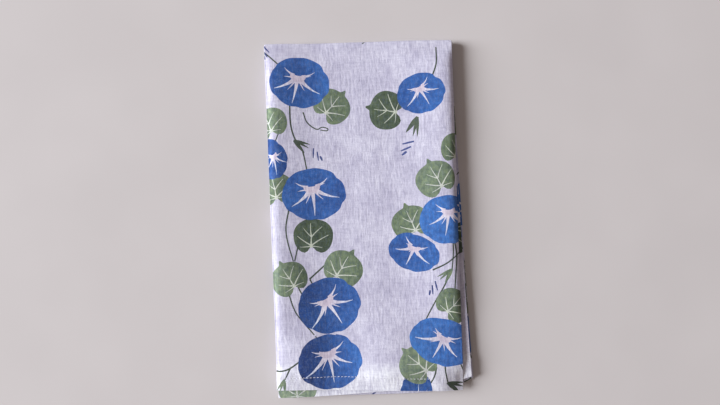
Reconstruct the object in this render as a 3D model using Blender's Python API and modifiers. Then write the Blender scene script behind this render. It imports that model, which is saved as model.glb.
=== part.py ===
"""Tenugui towel: one length of printed cotton with two hemmed ends, folded flat.

The cloth is first folded in three across its width, which makes a strip about 120 mm wide.
The strip is then folded in half along its length, and in half again, so four lengths of it lie
on each other: one end on top, the other end under it, and the two middle lengths below.
Metres, +Z up. The folded towel lies on z = 0, +Y runs towards its two upper folds, and the
origin is under the middle of the top length.
"""

import math
from collections import namedtuple
from functools import partial

import bmesh
import bpy

MM = 0.001

# The strip: three plies of cloth that lie pressed on each other.
STRIP_THICKNESS = 1.3 * MM
STRIP_GAP = 0.4 * MM
PITCH = STRIP_THICKNESS + STRIP_GAP

# The hems: each end of the cloth is turned under twice and sewn.
HEM_DEPTH = 9.4 * MM
HEM_STEP = 0.7 * MM
HEM_THICKNESS = 2.0 * MM
LIFT_REACH = 40.0 * MM

# The strip's long sides are folds, so its thickness rounds off there, over a shoulder.
SIDE_ROUND = 1.2 * MM
SIDE_SHOULDER = 0.4 * MM
SHOULDER_SHARE = 0.8
SIDE_SHARE = 0.35

# A bow or a crown keeps its height for longer, and turns down later, the higher this is.
BOW_POWER = 4

# Steps of the surface.
FLAT_STEPS = 10
FOLD_STEPS = 10
ACROSS_STEPS = 10

CLOTH_COLOUR = (0.72, 0.71, 0.78, 1.0)
CLOTH_ROUGHNESS = 0.9
SHARP_ANGLE = math.radians(50.0)

# The lines that close the four lengths, as seen from above, in millimetres. A fold's line is
# its outer edge and a hem's line is the cloth's end. bow moves the middle of the line along Y,
# and lean shifts that bow to the line's right end.
Line = namedtuple("Line", "left_x left_y right_x right_y bow lean")
LINES = {
    "front_hem": Line(-59.9, -109.6, 59.8, -115.4, 0.5, 0.0),
    "outer_fold": Line(-60.4, 112.4, 60.4, 111.6, 0.5, 0.0),
    "lower_fold": Line(-58.6, -114.2, 66.9, -108.6, -5.8, 0.6),
    "inner_fold": Line(-60.0, 107.8, 57.8, 108.6, 0.3, 0.0),
    "back_hem": Line(-59.6, -115.7, 65.8, -106.8, -3.2, 0.5),
}

# The four lengths in the order of the cloth, from the hem that shows to the hidden one. level
# counts up from the surface that the towel lies on. crown is how much the middle of the length
# stands up, and lift how much its hemmed end does, both in millimetres.
Length = namedtuple("Length", "start end level crown lift")
LENGTHS = [
    Length("front_hem", "outer_fold", 3, 0.50, 1.10),
    Length("outer_fold", "lower_fold", 0, 0.00, 0.00),
    Length("lower_fold", "inner_fold", 1, 0.10, 0.00),
    Length("inner_fold", "back_hem", 2, 0.30, 0.35),
]


def clear_scene():
    for obj in list(bpy.data.objects):
        bpy.data.objects.remove(obj, do_unlink=True)


def smooth_step(value):
    value = min(1.0, max(0.0, value))
    return value * value * (3.0 - 2.0 * value)


def line_point(name, across):
    """The point of a line at across, which runs from -1 at its left end to 1 at its right."""
    line = LINES[name]
    share = (across + 1.0) / 2.0
    x = line.left_x + (line.right_x - line.left_x) * share
    y = line.left_y + (line.right_y - line.left_y) * share
    bow = line.bow * (1.0 - abs(across) ** BOW_POWER) * (1.0 + line.lean * across)
    return x * MM, (y + bow) * MM


def is_hem(name):
    return name.endswith("hem")


def level_height(level):
    return STRIP_THICKNESS / 2 + level * PITCH


def fold_levels(name):
    """The levels of the two lengths that meet at a fold."""
    return [length.level for length in LENGTHS if name in (length.start, length.end)]


def fold_radius(name):
    low, high = sorted(fold_levels(name))
    return (high - low) * PITCH / 2


def fold_side(name):
    """1 for a fold at the top of the towel, and -1 for one at its bottom."""
    return 1.0 if LINES[name].left_y > 0 else -1.0


def flat_end(name, across):
    """Where the flat part of a length stops: at the cloth's end, or where a fold's bend starts."""
    x, y = line_point(name, across)
    if not is_hem(name):
        y -= fold_side(name) * (fold_radius(name) + STRIP_THICKNESS / 2)
    return x, y


def flat_point(length, share, across):
    """A point in the middle of the strip's thickness, share of the way along a length."""
    start_x, start_y = flat_end(length.start, across)
    end_x, end_y = flat_end(length.end, across)
    x = start_x + (end_x - start_x) * share
    y = start_y + (end_y - start_y) * share
    flatness = (1.0 - abs(across) ** BOW_POWER) * (1.0 - abs(2.0 * share - 1.0) ** BOW_POWER)
    crown = length.crown * MM * flatness
    from_hem = abs(end_y - start_y) * (share if is_hem(length.start) else 1.0 - share)
    lift = length.lift * MM * (1.0 - smooth_step(from_hem / LIFT_REACH))
    return x, y, level_height(length.level) + crown + lift


def fold_point(name, turn, across):
    """A point round a fold. turn runs from 0 at the length before the fold to 1 at the next."""
    x, y = flat_end(name, across)
    first, last = fold_levels(name)
    middle = (level_height(first) + level_height(last)) / 2
    half = (level_height(first) - level_height(last)) / 2
    angle = math.pi * turn
    y += fold_side(name) * abs(half) * math.sin(angle)
    return x, y, middle + half * math.cos(angle)


def flat_rows(length):
    """The rows of a flat length: even steps, and two close ones at the inner edge of its hem."""
    span = abs(flat_end(length.start, 0.0)[1] - flat_end(length.end, 0.0)[1])
    shares = [step / FLAT_STEPS for step in range(FLAT_STEPS + 1)]
    hem = HEM_DEPTH / span
    step = HEM_STEP / span
    if is_hem(length.start):
        shares += [hem, hem + step]
    if is_hem(length.end):
        shares += [1.0 - hem, 1.0 - hem - step]
    rows = []
    for share in sorted(shares):
        from_hem = share if is_hem(length.start) else 1.0 - share
        hemmed = (is_hem(length.start) or is_hem(length.end)) and from_hem < hem + step / 2
        thickness = HEM_THICKNESS if hemmed else STRIP_THICKNESS
        rows.append((partial(flat_point, length, share), thickness))
    return rows


def fold_rows(name):
    turns = [step / FOLD_STEPS for step in range(1, FOLD_STEPS)]
    return [(partial(fold_point, name, turn), STRIP_THICKNESS) for turn in turns]


def surface_rows():
    """Each row of the surface, as a function of across and the strip's thickness there."""
    rows = []
    for length in LENGTHS:
        if not is_hem(length.start):
            rows += fold_rows(length.start)
        rows += flat_rows(length)
    return rows


def surface_columns():
    """Each place across the strip, with the share of its thickness that it has there."""
    half_width = (LINES["front_hem"].right_x - LINES["front_hem"].left_x) / 2 * MM
    flat = 1.0 - SIDE_ROUND / half_width
    shoulder = 1.0 - SIDE_SHOULDER / half_width
    middle = [flat * (2.0 * step / ACROSS_STEPS - 1.0) for step in range(ACROSS_STEPS + 1)]
    left = [(-1.0, SIDE_SHARE), (-shoulder, SHOULDER_SHARE)]
    right = [(shoulder, SHOULDER_SHARE), (1.0, SIDE_SHARE)]
    return left + [(across, 1.0) for across in middle] + right


def cloth_material():
    material = bpy.data.materials.new("printed_cotton")
    material.use_nodes = True
    shader = material.node_tree.nodes["Principled BSDF"]
    shader.inputs["Base Color"].default_value = CLOTH_COLOUR
    shader.inputs["Roughness"].default_value = CLOTH_ROUGHNESS
    shader.inputs["Metallic"].default_value = 0.0
    material.diffuse_color = CLOTH_COLOUR
    return material


def folded_surface(columns, rows):
    """An even grid with a vertex for each column and row, moved on to the folded strip."""
    mesh = bpy.data.meshes.new("folded_cloth")
    grid = bmesh.new()
    bmesh.ops.create_grid(grid, x_segments=len(columns) - 1, y_segments=len(rows) - 1, size=1.0)
    places = []
    for vertex in grid.verts:
        column = round((vertex.co.x + 1.0) / 2.0 * (len(columns) - 1))
        row = round((vertex.co.y + 1.0) / 2.0 * (len(rows) - 1))
        places.append((column, row))
        vertex.co = rows[row][0](columns[column][0])
    grid.to_mesh(mesh)
    grid.free()
    return mesh, places


def make_towel(collection):
    columns = surface_columns()
    rows = surface_rows()
    mesh, places = folded_surface(columns, rows)
    towel = bpy.data.objects.new("folded_cloth", mesh)
    collection.objects.link(towel)
    mesh.materials.append(cloth_material())

    group = towel.vertex_groups.new(name="thickness")
    for index, (column, row) in enumerate(places):
        share = columns[column][1] * rows[row][1] / HEM_THICKNESS
        group.add([index], share, "REPLACE")

    solid = towel.modifiers.new("thickness", "SOLIDIFY")
    solid.thickness = HEM_THICKNESS
    solid.offset = 0.0
    solid.use_even_offset = True
    solid.vertex_group = group.name
    solid.thickness_vertex_group = 0.0
    mesh.shade_smooth()
    mesh.set_sharp_from_angle(angle=SHARP_ANGLE)


def main():
    clear_scene()
    collection = bpy.data.collections.new("tenugui_towel")
    bpy.context.scene.collection.children.link(collection)
    make_towel(collection)


main()
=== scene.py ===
"""A folded tenugui towel as the photo shows it: one printed cotton cloth in all its plies.

The cloth is drawn flat first. u runs across its width and v along its length, in millimetres.
The print, the folds and the hems are all placed on that flat sheet, and folded() then carries
each flat point to its place in the folded towel. Lengths are millimetres until a mesh is made.
"""

import math
from collections import namedtuple

import bpy
import numpy as np
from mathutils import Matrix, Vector
from mathutils.geometry import delaunay_2d_cdt

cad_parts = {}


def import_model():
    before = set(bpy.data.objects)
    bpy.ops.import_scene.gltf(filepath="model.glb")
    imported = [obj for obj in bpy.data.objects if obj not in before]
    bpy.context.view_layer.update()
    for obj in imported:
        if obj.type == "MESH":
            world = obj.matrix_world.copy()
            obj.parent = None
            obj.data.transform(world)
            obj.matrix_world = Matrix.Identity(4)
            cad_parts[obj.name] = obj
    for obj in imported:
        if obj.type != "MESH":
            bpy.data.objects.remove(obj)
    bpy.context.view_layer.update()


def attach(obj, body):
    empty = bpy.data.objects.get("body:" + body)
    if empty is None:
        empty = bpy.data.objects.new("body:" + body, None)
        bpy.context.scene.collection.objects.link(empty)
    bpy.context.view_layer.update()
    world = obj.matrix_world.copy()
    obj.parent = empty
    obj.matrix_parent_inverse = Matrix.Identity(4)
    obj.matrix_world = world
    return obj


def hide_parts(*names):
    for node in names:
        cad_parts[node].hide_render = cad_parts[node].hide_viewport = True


MM = 0.001

# The flat cloth and where it is folded across its width and along its length.
WIDTH = 330.0
LENGTH = 900.0
LEFT_FOLD = 105.0
RIGHT_FOLD = 225.0
PANEL_MIDDLE = (LEFT_FOLD + RIGHT_FOLD) / 2
HALF_PANEL = (RIGHT_FOLD - LEFT_FOLD) / 2

# The cloth's own thickness, and how far apart its plies and its four lengths lie.
CLOTH = 0.21
PLY = 0.42
LEVEL = 1.6
FLAP_DEPTH = {"right": PLY, "left": 2 * PLY}

# The hems: each end is turned under twice, which makes three plies of each.
HEM_DEPTH = 9.4
HEM_TURN_IN = 6.0
HEM_PLY = 0.22
HEM_SLOPE = 9.0
HEM_FLAP_DEPTH = {"right": 5 * HEM_PLY, "left": 8 * HEM_PLY}
HEM_EDGE_ROUND = 0.5
HEM_BACK_ROUND = 0.3
END_OF_CLOTH = HEM_DEPTH + HEM_TURN_IN

# The side folds: how much of the cloth goes round each, and how far it stands out.
SIDE_ROUND = {"right": 0.5, "left": 0.8}
SIDE_BULGE = {"right": 0.3, "left": 0.45}
# The part of the width between them, which stays flat.
PANEL_START = LEFT_FOLD + SIDE_ROUND["left"]
PANEL_STOP = RIGHT_FOLD - SIDE_ROUND["right"]

# The lines that close the four lengths, seen from above. A fold's line is its outer edge and a
# hem's line is the cloth's end. bow moves its middle along Y, and lean shifts that to the right.
BOW_POWER = 4
Line = namedtuple("Line", "left_x left_y right_x right_y bow lean")
LINES = {
    "front_hem": Line(-59.9, -109.6, 59.8, -115.4, 0.5, 0.0),
    "outer_fold": Line(-60.4, 112.4, 60.4, 111.6, 0.5, 0.0),
    "lower_fold": Line(-58.6, -114.2, 66.9, -108.6, -5.8, 0.6),
    "inner_fold": Line(-60.0, 107.8, 57.8, 108.6, 0.3, 0.0),
    "back_hem": Line(-59.6, -115.7, 65.8, -106.8, -3.2, 0.5),
}

# The lengths of the folded strip, in the cloth's order. v falls from first_v to last_v, and a
# length that lies face up has its middle panel on top. swell is its share of the soft relief.
Stretch = namedtuple("Stretch", "start end first_v last_v level face_up swell")
STRETCHES = [
    Stretch("front_hem", "outer_fold", 900.0, 675.0, 3, True, 1.0),
    Stretch("outer_fold", "lower_fold", 675.0, 450.0, 0, False, 0.0),
    Stretch("lower_fold", "inner_fold", 450.0, 225.0, 1, True, 0.25),
    Stretch("inner_fold", "back_hem", 225.0, 0.0, 2, False, 0.55),
]
TOP_LEVEL = 3

# The folds between them: half the cloth that goes round each, and how far its arc stands out.
Fold = namedtuple("Fold", "v round_half reach side")
FOLDS = {
    "outer_fold": Fold(675.0, 4.1, 2.95, 1.0),
    "lower_fold": Fold(450.0, 1.9, 1.35, -1.0),
    "inner_fold": Fold(225.0, 1.9, 1.35, 1.0),
}

# Soft relief of the top length: a broad swell, and creases given one by one as troughs or ridges.
Swell = namedtuple("Swell", "height across along slant phase")
SWELLS = [
    Swell(0.16, 95.0, 210.0, 0.3, 0.4),
    Swell(0.09, 61.0, 118.0, -0.5, 2.1),
    Swell(0.05, 37.0, 74.0, 0.8, 4.0),
]
SWELL_BASE = 0.26
# The folded lengths are puffed up beside their left folds, and this is how far that reaches.
LEFT_RISE = 1.2
LEFT_RISE_REACH = 38.0
Crease = namedtuple("Crease", "x0 y0 x1 y1 reach depth")
CREASES = [
    Crease(-52.0, -60.0, -40.0, -78.0, 7.0, -0.22),
    Crease(-58.0, 20.0, -30.0, 34.0, 9.0, 0.10),
    Crease(2.0, 60.0, 8.0, -40.0, 10.0, 0.10),
    Crease(36.0, -104.0, 58.0, -92.0, 5.0, -0.14),
    Crease(-20.0, -104.0, 20.0, -101.0, 3.0, 0.10),
    Crease(-44.0, 58.0, -30.0, 44.0, 6.0, -0.16),
    Crease(-50.0, -8.0, -40.0, -24.0, 7.0, -0.16),
    Crease(14.0, 44.0, 30.0, 30.0, 8.0, 0.12),
    Crease(-6.0, 10.0, 12.0, -16.0, 9.0, -0.10),
    Crease(54.0, 50.0, 57.0, -40.0, 4.0, -0.12),
]

# How the top panel stands off its flaps: a soft roll along its left fold, a long slope beside it,
# and a slow rise to the right. Each row is the place across the panel and the height there.
LOOSE_HEIGHTS = [
    (-59.5, 0.0), (-59.2, 0.28), (-58.6, 0.64), (-57.9, 1.00), (-57.2, 1.30), (-56.5, 1.50),
    (-55.8, 1.62), (-55.0, 1.70), (-54.0, 1.75), (-52.5, 1.74), (-48.0, 1.52), (-45.0, 1.36),
    (-40.0, 1.08), (-35.0, 0.78), (-31.0, 0.57), (-27.0, 0.40), (-21.0, 0.22), (-15.0, 0.08),
    (-5.0, 0.0), (10.0, 0.0), (16.0, 0.04), (24.0, 0.22), (31.0, 0.50), (39.0, 0.98),
    (47.0, 1.58), (51.0, 1.86), (54.0, 1.95), (56.0, 1.86), (57.5, 1.56), (58.6, 1.05),
    (59.3, 0.45), (59.7, 0.0),
]
# The same near the hem, where the panel is wavier, and between which two places along it that
# changes. The hem itself stands off by a smaller share.
HEM_HEIGHTS = [
    (-59.5, 0.0), (-59.1, 0.34), (-58.4, 0.70), (-57.4, 1.02), (-56.2, 1.27), (-54.0, 1.53),
    (-50.0, 1.87), (-46.0, 2.14), (-42.0, 2.26), (-38.0, 2.20), (-33.0, 1.92), (-27.0, 1.42),
    (-22.0, 1.16), (-17.0, 1.08), (-12.0, 1.16), (-6.0, 1.43), (0.0, 1.80), (6.0, 2.14),
    (12.0, 2.32), (17.0, 2.32), (22.0, 2.16), (28.0, 1.84), (34.0, 1.54), (40.0, 1.28),
    (46.0, 1.06), (50.0, 0.92), (53.0, 0.78), (55.0, 0.63), (57.0, 0.40), (58.5, 0.18),
    (59.7, 0.0),
]
HEM_WAVES = (-86.0, -50.0)
HEM_LOOSE_SHARE = 0.40
HEM_LOOSE_REACH = 12.0
# The last share of its length, before its fold, in which the panel comes down on its flaps.
CLOSED_SHARE = 1.0 / 16.0
# All these heights drift along it: by which share, over which length, and how much the wave
# slants, in radians for each millimetre across.
LOOSE_DRIFT = 0.16
LOOSE_DRIFT_LENGTH = 150.0
LOOSE_DRIFT_SLANT = 0.02

# The hem's right corner hangs down over the lower lengths' edges: how far, and between which two
# places along and across the panel that comes in.
DROOP = 3.6
DROOP_ALONG = (-93.0, -112.0)
DROOP_ACROSS = (44.0, 62.0)

# The top length rises over the back hem by this much more than that is thick. It comes down from
# this far past the hem's inner edge, over a slope that is longer than the hem's by the last value.
OVER_HEM_GAP = 0.12
OVER_HEM_START = 1.0
OVER_HEM_SLOPE = 6.0

# The hem's puckers: waves along its row of stitches, each with its share of the height, its
# length and its phase.
PUCKER_WAVES = [(1.0, 6.6, 0.0), (0.5, 10.3, 1.0)]
PUCKER_HEIGHT = 0.11
PUCKER_REACH = 3.4
STITCH_ROW = 8.0
# The row of stitches wanders: the place across, and how far from the cloth's end it is there.
STITCH_LINE = [(-60.0, 7.9), (-42.0, 8.5), (-12.0, 9.1), (27.0, 8.2), (60.0, 8.0)]
STITCH_PITCH = 2.2
STITCH_LENGTH = 1.45
STITCH_THICK = 0.34
# Where the row of each hem starts and stops across the cloth.
FRONT_STITCHES = (LEFT_FOLD + 1.5, RIGHT_FOLD - 1.0)
BACK_STITCHES = (0.8, LEFT_FOLD - 1.5)
# A stitch: the places along it where it is built, how much its ends are drawn in, and how far it
# stands out, as a share of its radius. Its length and its slant vary by the last two.
STITCH_SHARES = np.array([-1.0, -0.85, -0.5, 0.0, 0.5, 0.85, 1.0])
STITCH_SIDES = 6
STITCH_ENDS = 0.96
STITCH_LIFT = 0.5
STITCH_SEED = 11
STITCH_VARIATION = 0.15
STITCH_SLANT = 0.12

# Steps of the flat grid.
FRONT_STEP = 3.2
HIDDEN_STEP = 10.0
HEM_STEP = 1.2
BACK_HEM_STEP = 2.5
ROUND_STEPS = 6
LONG_ROUND_STEPS = 8
# How far from the cloth's end the close rows of the front hem reach, and the even rows start.
FRONT_HEM_ROWS = 16.0
END_ROWS = 18.0
# Closer columns beside the side folds, by how far each is from the fold.
BESIDE_FOLD = (0.6, 1.2, 1.9, 2.6)
# The result type for which delaunay_2d_cdt fills the whole sheet with triangles, and how close two
# points are that it takes for one.
WHOLE_SHEET = 0
SAME_POINT = 1e-4
# Slopes of the folded cloth are measured over this far to each side of a point.
SLOPE_STEP = 0.02
# The steps of a smooth curve between two of its points.
TABLE_STEPS = 6
THROAT_STEPS = 2
LINE_STEPS = 4

# Outlines with more points than this have every other one left out on hidden plies.
PLAIN_OUTLINE = 7

# The print repeats: two vines in each repeat across, and one repeat in each folded length.
REPEAT_ACROSS = 165.0
REPEAT_ALONG = 225.0
LOWEST_REPEAT = -106.0
LEFT_STEMS = -60.0

# The print, with x and y measured on the front length from its middle. A piece's shade and lean
# set its tone and how that slopes across it: partly the dye's own tone, and partly painted light
# and shade of the cloth's relief, such as flowers by the right fold darker towards it, painted
# shade where the cloth curves away, and a leaf by the left fold lighter towards it, painted
# highlight of its lit roll.
Flower = namedtuple(
    "Flower", "x y width height turn hub_x hub_y star star_turn star_size shade lean"
)
HEM_FLOWER = Flower(-25.3, -92.6, 41.0, 35.2, 5.0, -26.2, -87.6, "high", 3.0, 1.0, -0.40, 0.85)
SMALL_FLOWER = Flower(31.0, -24.6, 33.4, 24.2, -20.0, 30.9, -22.0, "small", -27.0, 0.98, 0.0, 0.2)
CUT_FLOWER = Flower(29.2, -115.0, 20.6, 32.0, 180.0, 31.0, -121.0, "open", 180.0, 0.8, -0.3, 0.0)
FLOWERS = [
    Flower(-58.2, 38.5, 21.5, 26.2, 14.0, -56.2, 40.2, "side", 10.0, 0.9, -0.3, -0.3),
    Flower(-31.6, 15.1, 40.6, 33.5, 0.0, -32.6, 18.6, "open", 0.0, 1.0, -0.08, -0.15),
    Flower(-24.5, -56.9, 40.3, 35.8, 10.0, -26.2, -54.2, "turned", 20.0, 1.0, -0.38, 0.45),
    # These two flowers by the right fold are darker towards it: painted shade where the cloth
    # curves away.
    Flower(52.9, -4.3, 35.6, 31.4, 0.0, 53.7, 0.6, "side", -7.0, 0.95, 0.35, -0.3),
    Flower(47.3, -82.9, 43.6, 29.8, -19.0, 47.9, -80.6, "low", -35.0, 0.93, 0.25, -0.4),
    Flower(-38.0, 87.0, 38.0, 32.5, -12.0, -39.0, 90.0, "open", -18.0, 1.0, -0.1, 0.3),
    Flower(39.0, 77.5, 31.0, 26.0, 12.0, 38.0, 80.5, "turned", 16.0, 0.95, 0.0, 0.2),
]
# A flower's rays start at its throat: start, half width there, sideways bend.
Ray = namedtuple("Ray", "start half_width bend")
RAYS = [
    Ray(0.15, 0.050, -0.09),
    Ray(0.15, 0.048, 0.07),
    Ray(0.10, 0.078, 0.06),
    Ray(0.08, 0.072, 0.02),
    Ray(0.10, 0.078, -0.07),
    Ray(0.18, 0.034, 0.02),
    Ray(0.16, 0.034, -0.02),
    Ray(0.12, 0.040, 0.02),
    Ray(0.12, 0.040, -0.03),
]
# Each kind of star gives those rays an angle in degrees and a length. The long ones come first.
STARS = {
    "open": [(40, 0.63), (154, 0.57), (225, 0.92), (273, 1.04), (337, 0.92), (27, 0.46),
             (191, 0.46), (249, 0.60), (309, 0.53)],
    "high": [(40, 0.65), (166, 0.53), (225, 1.08), (276, 1.04), (331, 0.82), (4, 0.42),
             (189, 0.43), (247, 0.60), (303, 0.58)],
    "turned": [(43, 0.66), (161, 0.54), (223, 1.02), (282, 0.96), (339, 0.85), (15, 0.45),
               (180, 0.41), (244, 0.50), (313, 0.51)],
    "small": [(38, 0.62), (139, 0.63), (215, 0.78), (270, 0.98), (333, 0.92), (20, 0.44),
              (169, 0.36), (248, 0.32), (313, 0.42)],
    "low": [(45, 0.67), (154, 0.44), (220, 1.03), (272, 1.02), (330, 0.79), (14, 0.42),
            (178, 0.42), (238, 0.57), (298, 0.52)],
    "side": [(14, 0.60), (151, 0.58), (223, 0.92), (268, 1.03), (330, 0.92), (0, 0.50),
             (184, 0.46), (249, 0.60), (306, 0.53)],
}
# The pale throat in the middle of each star.
THROAT = [
    (-0.28, 0.12), (-0.15, 0.085), (0.0, 0.085), (0.11, 0.125), (0.21, 0.20), (0.25, 0.06),
    (0.18, -0.09), (0.05, -0.15), (-0.12, -0.14), (-0.24, -0.05),
]
# Tapered strokes: the places along them where they are built, how their width falls, and the
# share of it that a ray keeps at its tip.
BLADE_SHARES = np.array([0.0, 0.35, 0.7, 1.0])
BLADE_TAPER = 0.8
RAY_TIP = 0.08
# A flower's rim has waves, each with its height, number and phase, and a notch at each long ray.
FLOWER_POINTS = 64
RIM_WAVES = [(0.010, 5, 0.6), (0.008, 11, 2.0)]
LONG_RAYS = 5
NOTCH_DEPTH = 0.042
NOTCH_REACH = 0.12

# A leaf stands on its stalk's end and points to its tip.
Leaf = namedtuple("Leaf", "x y tip_x tip_y width lop shade lean")
LEAVES = [
    Leaf(-55.2, 13.6, -57.6, 32.0, 23.0, 0.0, 0.0, -0.3),
    # This leaf by the left fold is lighter towards it: painted highlight of the lit roll.
    Leaf(-56.8, 56.2, -62.5, 73.0, 24.0, 0.0, 0.5, -0.5),
    Leaf(-34.5, -18.2, -33.6, 2.4, 25.2, 0.06, -0.9, -0.2),
    Leaf(-46.2, -43.4, -55.2, -26.8, 24.0, -0.03, 0.1, -0.8),
    Leaf(-19.1, -38.2, -7.2, -21.4, 25.2, 0.05, 0.1, -0.4),
    Leaf(-22.0, 67.0, -9.0, 81.0, 24.0, 0.0, 0.0, -0.3),
    Leaf(-71.7, 112.4, -72.6, 93.5, 25.0, 0.0, 1.0, 0.0),
    Leaf(22.6, 66.2, 3.2, 70.2, 25.0, 0.0, -0.8, -0.2),
    Leaf(59.4, 35.8, 64.0, 53.3, 21.0, 0.0, -0.3, -0.4),
    Leaf(50.1, 17.2, 41.3, 35.2, 25.2, -0.07, 0.25, -0.3),
    Leaf(32.5, -10.6, 25.8, 7.4, 24.4, -0.05, 0.1, 0.1),
    Leaf(51.2, -63.4, 64.5, -51.2, 24.2, 0.0, -0.3, -0.6),
    Leaf(36.0, -100.4, 20.6, -85.4, 23.2, -0.04, 0.45, -0.3),
]
# A leaf's veins, in its own frame: across and along it, from its stalk at 0, 0 to its tip.
Vein = namedtuple("Vein", "x0 y0 x1 y1 half_width")
VEINS = [
    Vein(0.0, 0.0, 0.0, 0.31, 0.030),
    Vein(0.0, 0.29, -0.03, 0.71, 0.020),
    Vein(0.0, 0.29, 0.33, 0.61, 0.020),
    Vein(0.0, 0.29, -0.25, 0.56, 0.018),
    Vein(0.0, 0.02, 0.53, 0.35, 0.024),
    Vein(0.0, 0.02, -0.43, 0.31, 0.024),
    Vein(0.0, 0.0, 0.34, -0.05, 0.018),
    Vein(0.0, 0.0, -0.36, -0.03, 0.018),
]
VEIN_TIP = 0.3
VEIN_BEND = 0.03
STALK_DOT = 0.055
DOT_POINTS = 8
# A leaf's outline is a radius round its middle, by the angle from its tip in radians: the radius
# beside the tip, what the side and the lobe add to it, the notch at the stalk and the point at
# the tip. A lopsided leaf leans from past its point to short of its stalk.
LEAF_MIDDLE = 0.37
LEAF_POINTS = 40
LEAF_TIP_ANGLES = np.array([0.0, 0.05, 0.11, 0.18, 0.27])
LEAF_EVEN_FROM = 0.3
LEAF_RADIUS = 0.48
LEAF_SIDE = 0.10
LEAF_LOBE = 0.07
LEAF_NOTCH = 0.28
LEAF_NOTCH_REACH = 0.25
LEAF_POINT = 0.15
LEAF_POINT_REACH = 0.11
LOP_START = 0.15
LOP_REACH = 0.6
LOP_END_REACH = 0.5

# A bud: its sepals fan out from its base along its axis, and strokes cross its tip.
Bud = namedtuple("Bud", "x y axis size hand colour shade")
BUDS = [
    Bud(-42.9, 50.2, -36.0, 1.0, -1.0, "stem", 0.3),
    Bud(36.4, 62.4, -112.0, 1.2, -1.0, "stem", 1.0),
    Bud(54.7, -36.1, -134.5, 1.0, 1.0, "green", 0.0),
    Bud(-54.7, -102.2, -106.0, 0.85, 1.0, "green", 0.3),
    Bud(49.2, -108.8, -26.0, 1.1, -1.0, "stem", 0.2),
]
Sepal = namedtuple("Sepal", "angle length half_width")
SEPALS = [
    Sepal(-19.0, 10.6, 0.80),
    Sepal(-6.0, 10.6, 0.80),
    Sepal(17.0, 10.4, 1.25),
]
Stroke = namedtuple("Stroke", "along length half_width slant")
STROKES = [
    Stroke(14.7, 6.3, 0.5, 57.0),
    Stroke(18.2, 5.9, 0.5, 47.0),
    Stroke(20.8, 3.2, 0.65, 33.0),
]
# Where a sepal is built along its length, and its widths there and along a stroke.
SEPAL_SHARES = np.array([0.0, 0.3, 0.6, 0.85, 1.0])
SEPAL_WIDTHS = np.array([0.6, 1.0, 0.85, 0.45, 0.1])
STROKE_WIDTHS = np.array([0.8, 1.0, 0.6])
# The radius given to pieces of one even shade, for which it makes no difference.
PLAIN_RADIUS = 10.0

# Stems and tendrils: half width, then the points that a smooth curve goes through.
STEMS = [
    (0.52, [(-44.6, 76.0), (-44.6, 61.1), (-42.5, 51.6), (-39.0, 45.8), (-37.3, 41.4),
            (-35.5, 31.0)]),
    (0.40, [(-36.5, 68.0), (-34.1, 61.2), (-28.4, 56.8), (-24.9, 58.0), (-21.3, 57.0),
            (-21.9, 55.6), (-25.9, 56.3)]),
    (0.40, [(-51.0, 58.0), (-54.5, 50.0)]),
    (0.50, [(-46.5, 10.0), (-48.5, 2.7), (-50.1, -5.6), (-49.4, -14.7), (-46.2, -27.5)]),
    (0.50, [(-41.5, -14.0), (-43.0, -18.2), (-45.4, -27.5)]),
    (0.52, [(-36.5, -39.4), (-26.2, -30.7), (-22.0, -27.0)]),
    (0.47, [(-36.2, -39.6), (-33.2, -45.5)]),
    (0.52, [(-44.4, -42.0), (-43.4, -45.0), (-40.0, -52.0)]),
    (0.44, [(-50.0, -47.5), (-47.3, -57.0), (-44.0, -63.3), (-35.3, -74.3), (-33.0, -77.5)]),
    (0.50, [(-43.5, -90.8), (-50.9, -95.6), (-56.1, -97.1), (-63.0, -97.6), (-69.0, -101.0),
            (-72.0, -112.5)]),
    (0.50, [(-50.4, -95.0), (-54.2, -102.4)]),
    (0.50, [(42.5, -36.4), (52.1, -32.0), (61.5, -24.6)]),
    (0.47, [(56.0, -18.0), (55.9, -26.0), (54.7, -37.0)]),
    (0.50, [(56.9, -18.0), (58.1, -27.5), (57.2, -38.0), (55.9, -52.0)]),
    (0.50, [(51.4, -42.5), (49.4, -47.0), (43.0, -57.5), (36.0, -69.8)]),
    (0.50, [(48.2, -96.0), (48.3, -102.0), (49.6, -109.0)]),
    (0.50, [(57.4, -95.0), (59.9, -101.4)]),
    (0.55, [(42.6, -98.5), (41.0, -104.0), (37.6, -110.0)]),
    (0.50, [(-72.0, 114.0), (-62.0, 109.0), (-50.0, 98.0)]),
    (0.50, [(45.5, 86.0), (49.2, 96.0), (49.6, 107.0)]),
    (0.44, [(2.6, 111.0), (4.4, 112.0)]),
]
# Lines of bare cloth that part two touching flowers.
PALE_LINES = [
    (0.50, [(-38.5, -75.8), (-34.5, -75.6), (-30.6, -74.2), (-26.0, -74.4), (-21.0, -75.4)]),
    (0.55, [(30.5, -12.4), (36.0, -13.9), (41.5, -17.2), (46.0, -21.0), (48.6, -25.4)]),
]
# How wide such a line is at its far end, as a share of its near end.
STEM_TAPER = 0.8
PALE_TAPER = 0.9
FOLD_STROKE_TAPER = 0.6

# Where the pieces of one repeat are printed again: everywhere, only on the front length, or only
# on one of the lengths under it, whose edges show at the right of the front.
EVERYWHERE = [(across, along) for across in range(-2, 2) for along in range(-4, 2)]
FRONT_ONLY = [(0, 0)]
BACK_END_ONLY = [(0, -3)]
LOWEST_ONLY = [(0, -1)]
LOWER_FOLD_ONLY = [(0, -2)]
# On the lower fold: a stroke in its middle, and at its right end a dark stem-coloured tip that is
# painted shadow, the shade of the gap under the fold's end.
FOLD_STROKE = (0.6, [(-3.2, -111.4), (-1.6, -110.2), (0.0, -109.2)])
FOLD_END_SHADOW = (0.95, [(54.0, -114.2), (56.2, -114.4), (58.6, -114.2)])
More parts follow.
